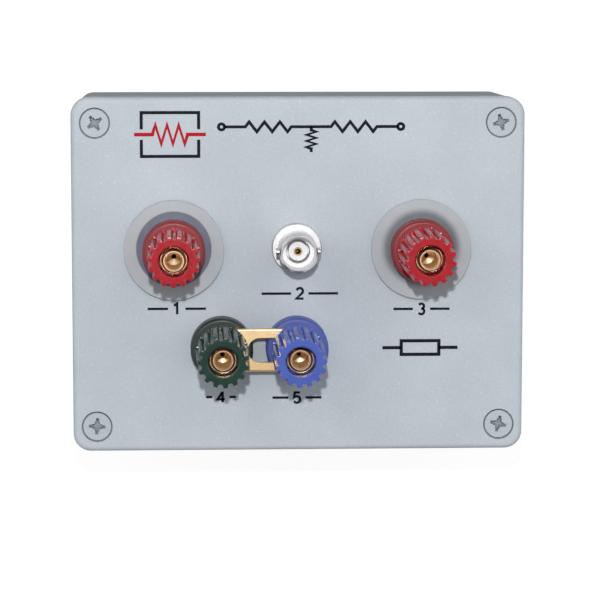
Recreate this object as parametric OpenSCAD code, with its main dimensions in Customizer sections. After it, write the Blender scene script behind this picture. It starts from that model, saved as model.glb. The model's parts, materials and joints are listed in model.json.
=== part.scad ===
// Bench standard resistor: a T network sealed in a die-cast box. The lid is the front panel and
// faces up. Two red posts on plastic discs carry the resistance, a coaxial socket carries the
// centre tap, and a link joins the ground post to the guard post.
// Millimetres. +Z leaves the panel, +X points from the source post to the output post.
// Z = 0 is the surface that the rubber feet stand on, below the centre of the box.

/* [Box] */
// Width of the box along X
box_w = 114.6; // [108:0.1:125]
// Depth of the box along Y
box_d = 90; // [86:0.1:100]
// Height of the box without its feet
box_h = 45; // [42:0.5:60]
// Radius of the upright corners
corner_r = 4.5; // [4:0.1:6]
// Lean of each side wall from rim to floor
wall_draft = 0.6; // [0.2:0.1:1]
// Radius round the bottom of the box
floor_edge_r = 2; // [1:0.1:3]
// Thickness of the side walls
wall_t = 2.6; // [2.4:0.1:3]
// Thickness of the floor
floor_t = 2.6; // [2:0.1:4]
// How far the lid stands proud of the base on each side
lid_overhang = 0.15; // [0.05:0.05:0.3]

/* [Lid] */
// Height of the lid's side wall
lid_h = 5; // [4.4:0.1:6]
// Thickness of the panel
panel_t = 2.6; // [2:0.1:3]
// Radius round the front edge of the lid
lid_edge_r = 1.3; // [0.6:0.1:2]
// How far the tongue reaches into the base
tongue_h = 2.4; // [1:0.1:4]
// Thickness of the tongue
tongue_t = 1.6; // [1:0.1:2.2]
// Slack between the tongue and the base
tongue_gap = 0.3; // [0.1:0.05:0.5]
// Width of the seal
seal_w = 1.4; // [1:0.1:1.6]
// Height of the seal
seal_h = 1; // [0.6:0.1:1.4]
// Distance from the lid's edge to the seal
seal_inset = 0.7; // [0.5:0.1:0.8]

/* [Lid screws] */
// Distance from the box's sides to the screws along X
screw_inset_x = 6.05; // [5.8:0.05:6.8]
// Distance from the box's sides to the screws along Y
screw_inset_y = 6.4; // [5.8:0.05:6.8]
// Diameter of the screw shank
screw_d = 3.9; // [3:0.1:4.2]
// Diameter of the flat head
screw_head_d = 7.1; // [6.8:0.1:7.3]
// Gap round the head at the panel's face
screw_rim_gap = 0.35; // [0.2:0.05:0.4]
// How far the head lies below the panel
screw_sink = 0.25; // [0.1:0.05:0.6]
// Length of the screw
screw_l = 16; // [12:0.5:20]
// Width of the cross recess at the head's face
cross_span = 4.3; // [3.6:0.1:4.6]
// Width of each arm of the cross
cross_arm = 0.8; // [0.6:0.05:1]
// Depth of the cross recess
cross_depth = 1.7; // [1:0.1:2]
// Lean of the recess's ends from the screw's axis, in degrees
cross_lean = 26.5; // [20:0.5:30]
// Diameter of the corner pillars that take the screws
pillar_d = 9; // [8.5:0.1:10]

/* [Feet] */
// Height of a rubber foot
foot_h = 3; // [2:0.1:5]
// Diameter of a foot at the box
foot_d = 12.5; // [10:0.1:14]
// Diameter of a foot at the bottom
foot_tip_d = 11; // [8:0.1:12]
// Distance from the box's sides to the middle of a foot
foot_inset = 11; // [9:0.5:16]

/* [Terminal layout] */
// Place of the coaxial socket and the guard post along X
column_x = -0.5; // [-2:0.05:2]
// Place of the coaxial socket along Y
coax_row_y = 7; // [5:0.05:9]
// Place of the red posts along Y
red_row_y = 6.55; // [4:0.05:9]
// Distance from the box's sides to the red posts
red_margin = 26; // [24:0.1:28]
// How far the pair of red posts stands from the middle of the box
red_shift = -0.22; // [-1:0.01:1]
// Place of the ground and guard posts along Y
low_row_y = -18.2; // [-21:0.1:-16]
// Distance between the ground post and the guard post
post_pitch = 19.05; // [18:0.05:22]

/* [Binding posts] */
// Diameter of the fixed collar
collar_d = 15.8; // [15:0.1:17]
// Height of the collar
collar_h = 5.4; // [4:0.1:7]
// Radius round the collar's front edge
collar_edge_r = 0.8; // [0.2:0.1:1]
// Diameter of the collar's spigot in the panel
spigot_d = 8; // [7:0.1:9]
// Diameter of the shaft inside the cap
shaft_d = 5.4; // [5.2:0.1:5.6]
// Height of the shaft's tip above the bottom of the collar
shaft_tip_h = 24.3; // [23:0.1:25]
// Diameter of the socket in the shaft
socket_d = 4.1; // [4:0.05:4.3]
// Depth of the socket's straight wall
socket_depth = 10.5; // [9:0.1:14]
// Diameter of the small hole at the bottom of the socket
socket_core_d = 1.1; // [0.8:0.1:1.5]
// Depth of that small hole
socket_core_l = 3; // [1:0.5:5]
// Diameter of the wire hole across the shaft
wire_hole_d = 2; // [1.5:0.1:2.2]
// Height of the wire hole above the collar
wire_hole_h = 2.2; // [2:0.1:2.4]
// Diameter of the shaft's clamping shoulder
shoulder_d = 8.4; // [8:0.1:9]
// Height of the clamping shoulder
shoulder_h = 1.2; // [0.8:0.1:2]
// Diameter of the stud behind the collar
stud_d = 4.8; // [4.6:0.1:5]
// Reach of the stud below the collar
stud_l = 13.1; // [12:0.1:14]
// Diameter of the pressure washer
washer_d = 12; // [10:0.1:12.5]
// Thickness of the pressure washer
washer_t = 0.8; // [0.5:0.1:1.2]
// Clearance between turning and fixed metal
run_gap = 0.05; // [0.02:0.01:0.08]
// Clearance where one fixed piece sits in another
seat_gap = 0.1; // [0.05:0.01:0.15]

/* [Caps] */
// Length of a cap
cap_l = 20.1; // [19.5:0.1:21]
// Diameter of a cap over its ribs, at the collar
cap_base_d = 13.2; // [12.8:0.1:14]
// Diameter of a cap over its ribs, at the front
cap_tip_d = 12.8; // [12.4:0.1:13.2]
// Number of grooves round a cap
groove_count = 15; // [12:1:18]
// Width of a groove
groove_w = 1.3; // [0.8:0.05:1.5]
// Depth of a groove at the front of the cap
groove_depth = 1; // [0.6:0.05:1.2]
// Height of the plain ring below the grooves
cap_ring_h = 1.1; // [0.6:0.1:2.5]
// Bevel on the cap's outer edges
cap_bevel = 0.3; // [0.1:0.05:0.5]
// Diameter of the hole in the front of a cap
cap_hole_d = 7.5; // [7.4:0.05:8]
// Depth of the round hole in the front of a cap
cap_hole_depth = 6.1; // [5:0.1:7]
// Width across the flats of the metal insert
insert_flats = 6.4; // [6.2:0.05:6.45]
// Distance from the cap's front to the insert
insert_recess = 4.6; // [3.6:0.1:5]
// Height of the wire space under the insert
wire_space_h = 2.6; // [2:0.1:3.5]
// Width of the wire space under the insert
wire_space_d = 6.2; // [5.8:0.1:6.3]

/* [Insulating discs] */
// Diameter of the discs under the red posts
disc_d = 25.4; // [22:0.1:27]
// Thickness of the discs
disc_t = 1.6; // [1.2:0.1:2.4]
// Diameter of the panel's hole behind a disc
disc_hole_d = 19.05; // [16:0.05:20]
// Diameter of the small insulators behind the panel
insulator_d = 14; // [10:0.1:16]

/* [Link] */
// Width of the link
link_w = 10.8; // [9:0.1:12]
// Thickness of the link
link_t = 1.6; // [1:0.1:2]
// Width of the open slot in the link
link_slot_w = 6.3; // [5.8:0.1:7]
// Distance from the ground post to the middle of the slot's round end
link_slot_start = 9.6; // [8:0.1:12]
// Reach of the prongs past the middle of the guard post
link_past = 4.2; // [3.6:0.1:5.4]
// Radius of the prongs' outer corners
link_prong_r = 2.1; // [0.5:0.1:2.2]

/* [Coaxial socket] */
// Diameter of the flange
coax_flange_d = 12.7; // [12:0.1:14]
// Thickness of the flange
coax_flange_t = 1.7; // [1:0.1:2.5]
// Height of the rim above the panel
coax_h = 14; // [13:0.1:15]
// Outer diameter of the barrel
coax_barrel_d = 9.65; // [9.4:0.05:9.8]
// Diameter of the mouth
coax_mouth_d = 8.1; // [7.9:0.05:8.3]
// Depth of the mouth
coax_mouth_depth = 5.2; // [4.8:0.1:5.8]
// Diameter of the well behind the mouth
coax_well_d = 6.1; // [5.6:0.1:6.6]
// Depth of the well below the rim
coax_well_depth = 11; // [9:0.1:12]
// Distance over the two bayonet lugs
coax_lug_span = 11; // [10.6:0.05:11.2]
// Diameter of a bayonet lug
coax_lug_d = 2; // [1.8:0.1:2.2]
// Distance from the rim to the lugs
coax_lug_drop = 4.4; // [3.6:0.1:5.4]
// Diameter of the white insulator
coax_core_d = 4.7; // [4.4:0.1:5]
// Distance from the rim to the insulator
coax_core_drop = 5.1; // [4.9:0.1:5.6]
// Diameter of the centre contact
coax_pin_d = 2.1; // [1.8:0.1:2.3]
// Diameter of the hole in the centre contact
coax_pin_hole_d = 1.35; // [1.2:0.05:1.5]
// Diameter of the threaded body behind the flange
coax_thread_d = 9.4; // [9:0.1:9.6]
// Length of thread past the nut
coax_thread_past = 1.2; // [0.5:0.1:3]

/* [Fixings behind the panel] */
// Width across the flats of a stud nut
nut_flats = 8; // [7:0.1:9]
// Thickness of a stud nut
nut_t = 3; // [2.4:0.1:3.4]
// Width across the flats of the socket's nut
coax_nut_flats = 12.7; // [12:0.1:14]
// Thickness of the socket's nut
coax_nut_t = 2.4; // [2:0.1:3]
// Thickness of a solder lug or lock washer
lug_t = 0.6; // [0.4:0.05:0.8]
// Diameter of a stud lug's ring
lug_ring_d = 9; // [8:0.1:10]
// Width of a lug's tail
lug_tail_w = 3; // [2.4:0.1:3.6]
// Distance from a stud to the eye of its lug
lug_reach = 11.5; // [10:0.1:12.5]

/* [Network inside] */
// Height of the resistors above the surface
network_z = 28; // [26.5:0.1:29]
// Diameter of the resistors' glass tubes
tube_d = 5.8; // [4:0.1:7]
// Length of the two long tubes
arm_tube_l = 17; // [12:0.5:18]
// Length of the short tube
shunt_tube_l = 12; // [8:0.5:14]
// Length of a tube's metal end cap
end_cap_l = 2; // [1:0.1:3]
// Diameter of the resistor leads
lead_d = 0.8; // [0.6:0.05:0.9]
// Diameter of the turret where the three leads meet
turret_d = 3.6; // [3.2:0.1:4.4]
// Height of the turret
turret_h = 6; // [5:0.1:7]
// Diameter of the hook-up wires
wire_d = 1; // [0.8:0.05:1.2]

/* [Guard tray] */
// Width of the tray along X
tray_w = 86; // [80:0.5:88]
// Depth of the tray along Y
tray_d = 58; // [55:0.1:59]
// Height of the tray's walls
tray_h = 9; // [6:0.1:9.5]
// Thickness of the tray's sheet
tray_t = 0.8; // [0.5:0.1:1.2]
// Distance between the tray's pillars along X
tray_span_x = 72; // [60:1:74]
// Distance between the tray's pillars along Y
tray_span_y = 44; // [36:1:46]
// Height of the insulating pillars
tray_pillar_h = 6; // [4:0.5:6.5]
// Diameter of the insulating pillars
tray_pillar_d = 7; // [6:0.1:8]
// Height of the bosses on the box's floor
tray_boss_h = 3; // [2:0.1:3.5]
// Diameter of the tray's screws
tray_screw_d = 3; // [2.5:0.1:3.5]

/* [Hidden] */
$fn = 72;
slice = 0.01;
over = 1;
block_facets = 40;
block_edge_steps = 4;
least_corner_r = 0.5;
bend_swell = 1.03;

panel_z = foot_h + box_h;
panel_back_z = panel_z - panel_t;
rim_z = panel_z - lid_h;
floor_z = foot_h + floor_t;
inner_w = box_w - 2 * lid_overhang - 2 * wall_t;
inner_d = box_d - 2 * lid_overhang - 2 * wall_t;

screw_span_x = box_w - 2 * screw_inset_x;
screw_span_y = box_d - 2 * screw_inset_y;
red_offset = box_w / 2 - red_margin;
source_at = [red_shift - red_offset, red_row_y];
output_at = [red_shift + red_offset, red_row_y];
guard_at = [column_x, low_row_y];
ground_at = [column_x - post_pitch, low_row_y];
coax_at = [column_x, coax_row_y];
corner_signs = [[1, 1], [-1, 1], [-1, -1], [1, -1]];
screw_turns = [15, 34, -4, -14];

red_seat_z = panel_z + disc_t;
low_seat_z = panel_z;
spigot_slack = 0.1;
insulator_t = disc_t;

rear_z = panel_back_z - insulator_t;
stud_hole_d = stud_d + seat_gap;
cup_d = lead_d + 2 * seat_gap;
cup_depth = 3;
tip_bevel = 0.2;
socket_bevel = 0.25;
drill_half_angle = 59;

cap_turns = [4.4, 15.9, 11, 1.9];

coax_rear_z = panel_back_z - 2 * lug_t - coax_nut_t - coax_thread_past;
coax_core_past = 1.5;
coax_core_end_z = coax_rear_z - coax_core_past;
coax_pin_recess = 0.3;
coax_pin_depth = 5;
coax_tail_d = 1.6;
coax_eye_reach = 12;
coax_lug_ring_d = 13;
coax_washer_d = 12.5;

turret_below = 2.2;
turret_top_z = network_z + turret_h - turret_below;
turret_sink = 2.4;
lead_start = 1.2;
end_cap_lip = 0.2;
wire_past_lug = 0.5;
wire_end_gap = 0.2;

tray_z = floor_z + tray_boss_h + tray_pillar_h;
tray_screw_head_d = 5.6;
tray_screw_head_h = 2;
tray_corner_gap = 1.5;
tray_boss_margin = 0.5;

lid_grey = [0.74, 0.77, 0.81];
box_grey = [0.66, 0.69, 0.73];
screw_grey = [0.60, 0.64, 0.69];
post_red = [0.75, 0.12, 0.15];
post_green = [0.10, 0.25, 0.22];
post_blue = [0.27, 0.38, 0.78];
gold = [0.85, 0.68, 0.38];
link_gold = [0.90, 0.78, 0.52];
nickel = [0.80, 0.80, 0.80];
tin = [0.70, 0.71, 0.72];
plastic_white = [0.88, 0.88, 0.88];
rubber_black = [0.10, 0.10, 0.10];
seal_grey = [0.25, 0.25, 0.26];
glass_brown = [0.45, 0.30, 0.20];

// Outline and solid helpers

module round_rect(w, d, r) {
    square([w - 2 * r, d], center = true);
    square([w, d - 2 * r], center = true);
    for (s = corner_signs)
        translate([s[0] * (w / 2 - r), s[1] * (d / 2 - r)]) circle(r);
}

module ring(outer_d, inner_d, h) {
    difference() {
        cylinder(d = outer_d, h = h);
        translate([0, 0, -over]) cylinder(d = inner_d, h = h + 2 * over);
    }
}

module hexagon(flats, h) {
    rotate(30) cylinder(d = flats / cos(30), h = h, $fn = 6);
}

module at_screws() {
    for (i = [0:3])
        translate([corner_signs[i][0] * screw_span_x / 2, corner_signs[i][1] * screw_span_y / 2, 0])
            rotate(screw_turns[i]) children();
}

// Column from the screw out to the corner of the box, as an outline
module pillar_outline() {
    reach = corner_r + pillar_d / 2;
    for (s = corner_signs)
        translate([s[0] * screw_span_x / 2, s[1] * screw_span_y / 2])
            mirror([s[0] < 0 ? 1 : 0, 0]) mirror([0, s[1] < 0 ? 1 : 0]) {
                circle(d = pillar_d);
                translate([0, -pillar_d / 2]) square([reach, pillar_d]);
                translate([-pillar_d / 2, 0]) square([pillar_d, reach]);
            }
}

// Block that narrows towards its bottom, with a rounded lower edge of radius e
module drafted_block(w, d, h, r, lean, e) {
    steps = e > 0 ? block_edge_steps : 0;
    hull() {
        translate([0, 0, h - slice]) linear_extrude(slice) round_rect(w, d, r, $fn = block_facets);
        for (i = [0:steps]) {
            a = steps > 0 ? 90 * i / steps : 0;
            inset = lean + e * (1 - cos(a));
            translate([0, 0, e * (1 - sin(a))])
                linear_extrude(slice)
                    round_rect(w - 2 * inset, d - 2 * inset, max(r - inset, least_corner_r),
                        $fn = block_facets);
        }
    }
}

// Profile of a bar of width w and height h whose two upper edges are rounded
module bar_profile(w, h, e) {
    translate([-w / 2, 0]) square([w, h - e]);
    translate([-w / 2 + e, 0]) square([w - 2 * e, h]);
    for (s = [-1, 1]) translate([s * (w / 2 - e), h - e]) circle(e);
}

// Slab with upright corners of radius r and a front edge of radius e
module soft_slab(w, d, h, r, e) {
    rotate([90, 0, 90]) linear_extrude(w - 2 * r, center = true) bar_profile(d, h, e);
    rotate([90, 0, 0]) linear_extrude(d - 2 * r, center = true) bar_profile(w, h, e);
    for (s = corner_signs)
        translate([s[0] * (w / 2 - r), s[1] * (d / 2 - r), 0])
            rotate_extrude() {
                square([r, h - e]);
                square([r - e, h]);
                translate([r - e, h - e]) circle(e);
            }
}

// Straight wires between points, with a ball a touch wider than the wire at each bend
module wire_run(points, d) {
    for (i = [1:len(points) - 1]) {
        a = points[i - 1];
        b = points[i];
        v = b - a;
        l = norm(v);
        translate(a)
            rotate([0, acos(v[2] / l), atan2(v[1], v[0])])
                cylinder(d = d, h = l);
        if (i < len(points) - 1) translate(b) sphere(d = bend_swell * d);
    }
}

// The box, its lid and what holds them together

screw_top_z = panel_z - screw_sink;
screw_land = 0.7;
screw_cone_h = (screw_head_d - screw_d) / 2;
screw_slack = 0.15;
screw_tip_bevel = 0.5;

module tray_places() {
    for (s = corner_signs)
        translate([s[0] * tray_span_x / 2, s[1] * tray_span_y / 2, 0]) children();
}

module enclosure_base() {
    color(box_grey)
        difference() {
            translate([0, 0, foot_h])
                drafted_block(box_w - 2 * lid_overhang, box_d - 2 * lid_overhang,
                    rim_z - foot_h, corner_r, wall_draft, floor_edge_r);
            difference() {
                translate([0, 0, floor_z])
                    drafted_block(inner_w, inner_d, rim_z - floor_z + over,
                        corner_r - wall_t, wall_draft, 0);
                translate([0, 0, floor_z - over])
                    linear_extrude(rim_z - floor_z + 3 * over) pillar_outline();
                tray_places() translate([0, 0, floor_z - over])
                    cylinder(d = tray_pillar_d + 2 * tray_boss_margin, h = tray_boss_h + over);
            }
            at_screws() translate([0, 0, screw_top_z - screw_l - over])
                cylinder(d = screw_d + 2 * run_gap, h = screw_l + over);
            tray_places() translate([0, 0, floor_z - over])
                cylinder(d = tray_screw_d + 2 * run_gap, h = tray_boss_h + 2 * over);
        }
}

module seal_outline() {
    far = seal_inset + seal_w;
    difference() {
        round_rect(box_w - 2 * seal_inset, box_d - 2 * seal_inset, corner_r - seal_inset);
        round_rect(box_w - 2 * far, box_d - 2 * far, corner_r - far);
    }
}

module lid_gasket() {
    color(seal_grey) translate([0, 0, rim_z]) linear_extrude(seal_h) seal_outline();
}

module panel_hole(at, d) {
    translate([at[0], at[1], rim_z - over]) cylinder(d = d, h = lid_h + 2 * over);
}

module enclosure_lid() {
    pocket_w = inner_w - 2 * tongue_gap;
    pocket_d = inner_d - 2 * tongue_gap;
    tongue_z = rim_z - tongue_h;
    tongue_rise = panel_back_z - tongue_z + slice;
    color(lid_grey) {
        difference() {
            translate([0, 0, rim_z]) soft_slab(box_w, box_d, lid_h, corner_r, lid_edge_r);
            translate([0, 0, rim_z - over])
                linear_extrude(lid_h - panel_t + over)
                    difference() {
                        round_rect(pocket_w, pocket_d, corner_r - wall_t - tongue_gap);
                        pillar_outline();
                    }
            translate([0, 0, rim_z - over]) linear_extrude(seal_h + over) seal_outline();
            for (at = [source_at, output_at]) panel_hole(at, disc_hole_d);
            for (at = [ground_at, guard_at]) panel_hole(at, spigot_d + 2 * seat_gap);
            panel_hole(coax_at, coax_thread_d + 2 * seat_gap);
            at_screws() {
                translate([0, 0, rim_z - over])
                    cylinder(d = screw_d + 2 * screw_slack, h = lid_h + 2 * over);
                translate([0, 0, screw_top_z - screw_land - screw_cone_h])
                    cylinder(d1 = screw_d + 2 * screw_slack, d2 = screw_head_d + 2 * screw_slack,
                        h = screw_cone_h);
                translate([0, 0, screw_top_z - screw_land - slice])
                    cylinder(d = screw_head_d + 2 * screw_rim_gap, h = screw_land + screw_sink + over);
            }
        }
        for (s = [-1, 1]) {
            rail_x = screw_span_x - pillar_d - 2 * tongue_gap;
            rail_y = screw_span_y - pillar_d - 2 * tongue_gap;
            translate([-rail_x / 2, s * (pocket_d - tongue_t) / 2 - tongue_t / 2, tongue_z])
                cube([rail_x, tongue_t, tongue_rise]);
            translate([s * (pocket_w - tongue_t) / 2 - tongue_t / 2, -rail_y / 2, tongue_z])
                cube([tongue_t, rail_y, tongue_rise]);
        }
    }
}

// Two crossed blades that narrow with depth
module crossed_blades(span, thickness) {
    rim = span / 2 + over * tan(cross_lean);
    foot = span / 2 - cross_depth * tan(cross_lean);
    for (a = [0, 90])
        rotate([90, 0, a])
            linear_extrude(thickness, center = true)
                polygon([[-rim, over], [rim, over], [foot, -cross_depth], [-foot, -cross_depth]]);
}

// Four wings, thicker where they meet
module cross_recess() {
    root_span = cross_span * 0.62;
    root_thickness = cross_arm * 1.6;
    crossed_blades(cross_span, cross_arm);
    crossed_blades(root_span, root_thickness);
}

module lid_screws() {
    color(screw_grey)
        at_screws() translate([0, 0, screw_top_z])
            difference() {
                rotate_extrude()
                    polygon([
                        [0, -screw_l],
                        [screw_d / 2 - screw_tip_bevel, -screw_l],
                        [screw_d / 2, -screw_l + screw_tip_bevel],
                        [screw_d / 2, -screw_land - screw_cone_h],
                        [screw_head_d / 2, -screw_land],
                        [screw_head_d / 2, 0],
                        [0, 0]
                    ]);
                cross_recess();
            }
}

module rubber_feet() {
    bevel = 0.6;
    color(rubber_black)
        for (s = corner_signs)
            translate([s[0] * (box_w / 2 - foot_inset), s[1] * (box_d / 2 - foot_inset), 0])
                rotate_extrude()
                    polygon([
                        [0, 0],
                        [foot_tip_d / 2 - bevel, 0],
                        [foot_tip_d / 2, bevel],
                        [foot_d / 2, foot_h],
                        [0, foot_h]
                    ]);
}

// Binding posts, each drawn from the bottom of its collar

module at_post(at, z) {
    translate([at[0], at[1], z]) children();
}

module front_disc() {
    bevel = 0.2;
    difference() {
        rotate_extrude()
            polygon([
                [0, 0],
                [disc_d / 2 - bevel, 0],
                [disc_d / 2, bevel],
                [disc_d / 2, disc_t - bevel],
                [disc_d / 2 - bevel, disc_t],
                [0, disc_t]
            ]);
        translate([0, 0, -over]) cylinder(d = spigot_d + 2 * seat_gap, h = disc_t + 2 * over);
    }
}

module rear_disc() {
    difference() {
        union() {
            cylinder(d = disc_d, h = insulator_t);
            cylinder(d = disc_hole_d - 2 * seat_gap, h = insulator_t + panel_t - spigot_slack);
        }
        translate([0, 0, -over])
            cylinder(d = stud_hole_d, h = insulator_t + panel_t + 2 * over);
    }
}

module collar(spigot_l) {
    difference() {
        union() {
            rotate_extrude() {
                square([collar_d / 2, collar_h - collar_edge_r]);
                square([collar_d / 2 - collar_edge_r, collar_h]);
                translate([collar_d / 2 - collar_edge_r, collar_h - collar_edge_r])
                    circle(collar_edge_r);
            }
            translate([0, 0, -spigot_l]) cylinder(d = spigot_d, h = spigot_l + over);
        }
        translate([0, 0, -spigot_l - over]) cylinder(d = stud_hole_d, h = spigot_l + collar_h + over);
        translate([0, 0, collar_h - shoulder_h])
            cylinder(d = shoulder_d + 2 * seat_gap, h = shoulder_h + over);
    }
}

module shaft() {
    shaft_r = shaft_d / 2;
    stud_r = stud_d / 2;
    socket_r = socket_d / 2;
    shoulder_z = collar_h - shoulder_h;
    core_r = socket_core_d / 2;
    core_z = shaft_tip_h - socket_depth - (socket_r - core_r) / tan(drill_half_angle);
    stud_bevel = 0.3;
    difference() {
        rotate_extrude()
            polygon([
                [0, -stud_l],
                [stud_r - stud_bevel, -stud_l],
                [stud_r, -stud_l + stud_bevel],
                [stud_r, shoulder_z],
                [shoulder_d / 2, shoulder_z],
                [shoulder_d / 2, collar_h],
                [shaft_r, collar_h],
                [shaft_r, shaft_tip_h - tip_bevel],
                [shaft_r - tip_bevel, shaft_tip_h],
                [socket_r + socket_bevel, shaft_tip_h],
                [socket_r, shaft_tip_h - socket_bevel],
                [socket_r, shaft_tip_h - socket_depth],
                [core_r, core_z],
                [core_r, core_z - socket_core_l],
                [0, core_z - socket_core_l]
            ]);
        translate([0, 0, collar_h + wire_hole_h]) rotate([90, 0, 0])
            cylinder(d = wire_hole_d, h = shaft_d + 2 * over, center = true);
        translate([0, 0, -stud_l - over]) cylinder(d = cup_d, h = cup_depth + over);
    }
}

module pressure_washer() {
    ring(washer_d, shaft_d + 2 * seat_gap, washer_t);
}

// Cap, drawn from its own bottom, with its first rib turned to the angle turn
module cap(turn) {
    groove_floor_r = cap_tip_d / 2 - groove_depth;
    base_r = cap_base_d / 2;
    tip_r = cap_tip_d / 2;
    difference() {
        rotate_extrude()
            polygon([
                [0, 0],
                [base_r - cap_bevel, 0],
                [base_r, cap_bevel],
                [tip_r, cap_l - cap_bevel],
                [tip_r - cap_bevel, cap_l],
                [0, cap_l]
            ]);
        for (i = [0:groove_count - 1])
            rotate(turn + 360 * (i + 0.5) / groove_count)
                translate([groove_floor_r, 0, cap_ring_h + groove_w / 2])
                    rotate([90, 0, 90]) linear_extrude(base_r) {
                        translate([-groove_w / 2, 0]) square([groove_w, cap_l]);
                        circle(d = groove_w);
                    }
        translate([0, 0, -over]) cylinder(d = wire_space_d, h = wire_space_h + 2 * over);
        translate([0, 0, wire_space_h])
            hexagon(insert_flats, cap_l - cap_hole_depth - wire_space_h + slice);
        translate([0, 0, cap_l - cap_hole_depth]) cylinder(d = cap_hole_d, h = cap_hole_depth + over);
        translate([0, 0, cap_l - cap_bevel])
            cylinder(d1 = cap_hole_d, d2 = cap_hole_d + 2 * (cap_bevel + over), h = cap_bevel + over);
    }
}

module insert() {
    insert_h = cap_l - insert_recess - wire_space_h;
    corner_rad = insert_flats / 2 / cos(30);
    crown = 0.35;
    crown_w = 0.42;
    translate([0, 0, wire_space_h])
        difference() {
            intersection() {
                hexagon(insert_flats, insert_h);
                rotate_extrude()
                    polygon([
                        [0, 0],
                        [corner_rad, 0],
                        [corner_rad, insert_h - crown],
                        [corner_rad - crown_w, insert_h],
                        [0, insert_h]
                    ]);
            }
            translate([0, 0, -over])
                cylinder(d = shaft_d + 2 * run_gap, h = insert_h + 2 * over);
        }
}

module insulator() {
    ring(insulator_d, stud_hole_d, insulator_t);
}

module lug(ring_d, hole_d, reach) {
    linear_extrude(lug_t)
        difference() {
            union() {
                circle(d = ring_d);
                translate([0, -lug_tail_w / 2]) square([reach, lug_tail_w]);
                translate([reach, 0]) circle(d = lug_tail_w);
            }
            circle(d = hole_d);
            translate([reach, 0]) circle(d = wire_d + 2 * seat_gap);
        }
}

red_cap_z = red_seat_z + collar_h + washer_t;
low_cap_z = low_seat_z + collar_h + link_t + washer_t;
red_spigot_l = disc_t - spigot_slack;
low_spigot_l = panel_t - spigot_slack;

module source_disc() color(plastic_white) at_post(source_at, panel_z) front_disc();
module source_collar() color(post_red) at_post(source_at, red_seat_z) collar(red_spigot_l);
module source_shaft() color(gold) at_post(source_at, red_seat_z) shaft();
module source_washer() color(gold) at_post(source_at, red_cap_z - washer_t) pressure_washer();
module source_cap() color(post_red) at_post(source_at, red_cap_z) cap(cap_turns[0]);
module source_insert() color(gold) at_post(source_at, red_cap_z) insert();
module source_rear_disc() color(plastic_white) at_post(source_at, rear_z) rear_disc();

module output_disc() color(plastic_white) at_post(output_at, panel_z) front_disc();
module output_collar() color(post_red) at_post(output_at, red_seat_z) collar(red_spigot_l);
module output_shaft() color(gold) at_post(output_at, red_seat_z) shaft();
module output_washer() color(gold) at_post(output_at, red_cap_z - washer_t) pressure_washer();
module output_cap() color(post_red) at_post(output_at, red_cap_z) cap(cap_turns[1]);
module output_insert() color(gold) at_post(output_at, red_cap_z) insert();
module output_rear_disc() color(plastic_white) at_post(output_at, rear_z) rear_disc();

module ground_collar() color(post_green) at_post(ground_at, low_seat_z) collar(low_spigot_l);
module ground_shaft() color(gold) at_post(ground_at, low_seat_z) shaft();
module ground_washer() color(gold) at_post(ground_at, low_cap_z - washer_t) pressure_washer();
module ground_cap() color(post_green) at_post(ground_at, low_cap_z) cap(cap_turns[2]);
module ground_insert() color(gold) at_post(ground_at, low_cap_z) insert();
module ground_insulator() color(plastic_white) at_post(ground_at, rear_z) insulator();

module guard_collar() color(post_blue) at_post(guard_at, low_seat_z) collar(low_spigot_l);
module guard_shaft() color(gold) at_post(guard_at, low_seat_z) shaft();
module guard_washer() color(gold) at_post(guard_at, low_cap_z - washer_t) pressure_washer();
module guard_cap() color(post_blue) at_post(guard_at, low_cap_z) cap(cap_turns[3]);
module guard_insert() color(gold) at_post(guard_at, low_cap_z) insert();
module guard_insulator() color(plastic_white) at_post(guard_at, rear_z) insulator();

lug_z = rear_z - lug_t;
ground_to_coax = atan2(coax_at[1] - ground_at[1], coax_at[0] - ground_at[0]);

module ground_lug() {
    color(tin) at_post(ground_at, lug_z) rotate(ground_to_coax) lug(lug_ring_d, stud_hole_d, lug_reach);
}

module guard_lug() {
    color(tin) at_post(guard_at, lug_z) rotate(-90) lug(lug_ring_d, stud_hole_d, lug_reach);
}

module stud_nut() {
    difference() {
        hexagon(nut_flats, nut_t);
        translate([0, 0, -over]) cylinder(d = stud_hole_d, h = nut_t + 2 * over);
    }
}

module stud_nuts() {
    color(nickel) {
        for (at = [source_at, output_at]) at_post(at, rear_z - nut_t) stud_nut();
        for (at = [ground_at, guard_at]) at_post(at, lug_z - nut_t) stud_nut();
    }
}

// Link from the ground post to the guard post. Its slot is open, so it slides in from the side.
module shorting_link() {
    end_x = post_pitch + link_past;
    edge_r = 0.4;
    shaft_hole_d = shaft_d + 2 * seat_gap;
    color(link_gold)
        at_post(ground_at, low_seat_z + collar_h)
            intersection() {
                linear_extrude(link_t)
                    difference() {
                        union() {
                            circle(d = link_w);
                            translate([0, -link_w / 2]) square([end_x - link_prong_r, link_w]);
                            translate([0, -link_w / 2 + link_prong_r])
                                square([end_x, link_w - 2 * link_prong_r]);
                            for (s = [-1, 1])
                                translate([end_x - link_prong_r, s * (link_w / 2 - link_prong_r)])
                                    circle(link_prong_r);
                        }
                        circle(d = shaft_hole_d);
                        translate([link_slot_start, 0]) circle(d = link_slot_w);
                        translate([link_slot_start, -link_slot_w / 2])
                            square([end_x - link_slot_start + over, link_slot_w]);
                    }
                translate([-link_w, 0, link_t / 2])
                    rotate([90, 0, 90])
                        linear_extrude(end_x + 2 * link_w) round_rect(link_w, link_t, edge_r);
            }
}

// Coaxial socket, drawn from the front of the panel

coax_rear = coax_rear_z - panel_z;
coax_core_end = coax_core_end_z - panel_z;
core_gap = 0.03;

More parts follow.
